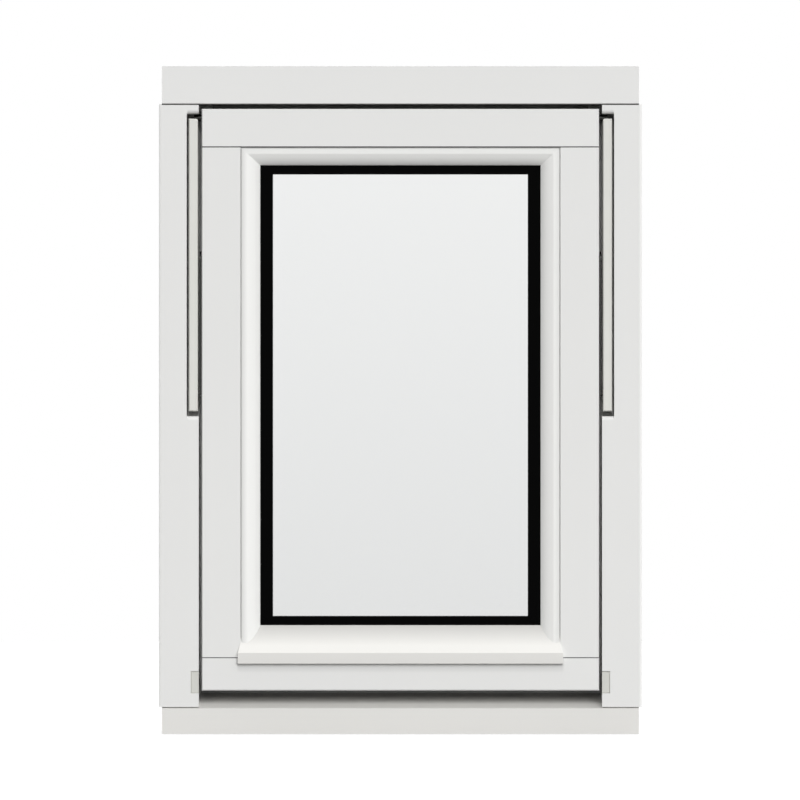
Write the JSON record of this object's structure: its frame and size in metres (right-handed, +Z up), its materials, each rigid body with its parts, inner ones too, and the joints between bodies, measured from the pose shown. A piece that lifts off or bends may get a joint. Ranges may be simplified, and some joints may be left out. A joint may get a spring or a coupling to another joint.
{
  "type": "pivot window",
  "caption": "White timber pivot window: a frame and one glazed sash whose foot swings out on side arms while its top slides down, until the sash has turned over.",
  "frame": {"origin": "middle of the sill's underside, half way through the frame's depth", "axes": "+X to the right seen from outside, +Y into the room, +Z up"},
  "size_m": [0.588, 0.1205, 0.8132],
  "materials": {
    "frame_paint": "satin white paint on timber",
    "sash_paint": "satin white paint on timber",
    "bead_paint": "satin white paint on moulded timber",
    "pane_glass": "clear float glass",
    "glazing_rubber": "matt black",
    "spacer_bar": "matt black",
    "weather_seal": "matt black",
    "rail_paint": "light grey powder coat",
    "catch_moulding": "light grey",
    "gear_steel": "black zinc plate",
    "handle_paint": "white powder coat"
  },
  "bodies": {
    "frame": {"frame_head": "frame_paint", "frame_sill": "frame_paint", "head_seal": "weather_seal", "sill_seal": "weather_seal", "frame_jamb_left": "frame_paint", "guide_rail_left": "rail_paint", "catch_left": "catch_moulding", "jamb_seal_left": "weather_seal", "frame_jamb_right": "frame_paint", "guide_rail_right": "rail_paint", "catch_right": "catch_moulding", "jamb_seal_right": "weather_seal"},
    "arms": {"side_arm_left": "gear_steel", "side_arm_right": "gear_steel"},
    "sash": {"sash_top_rail": "sash_paint", "sash_bottom_rail": "sash_paint", "top_bead": "bead_paint", "drip_bead": "bead_paint", "outer_pane": "pane_glass", "inner_pane": "pane_glass", "outer_seal_top": "glazing_rubber", "outer_seal_bottom": "glazing_rubber", "inner_seal_top": "glazing_rubber", "inner_seal_bottom": "glazing_rubber", "spacer_top": "spacer_bar", "spacer_bottom": "spacer_bar", "handle_plate": "handle_paint", "handle_lever": "handle_paint", "sash_stile_left": "sash_paint", "side_bead_left": "bead_paint", "outer_seal_left": "glazing_rubber", "inner_seal_left": "glazing_rubber", "spacer_left": "spacer_bar", "sash_pivot_left": "gear_steel", "top_shoe_left": "gear_steel", "sash_stile_right": "sash_paint", "side_bead_right": "bead_paint", "outer_seal_right": "glazing_rubber", "inner_seal_right": "glazing_rubber", "spacer_right": "spacer_bar", "sash_pivot_right": "gear_steel", "top_shoe_right": "gear_steel"}
  },
  "joints": [
    {"name": "arm_swing", "type": "hinge", "parent": "frame", "child": "arms", "pos_m": [0, -0.0295, 0.4071], "axis": [1, 0, 0], "range_deg": [0, 180]},
    {"name": "sash_turn", "type": "hinge", "parent": "arms", "child": "sash", "pos_m": [0, -0.0295, 0.57905], "axis": [-1, 0, 0], "range_deg": [0, 360]}
  ],
  "couplings": [
    {"joint": "sash_turn", "follows": "arm_swing", "ratio": 2}
  ]
}
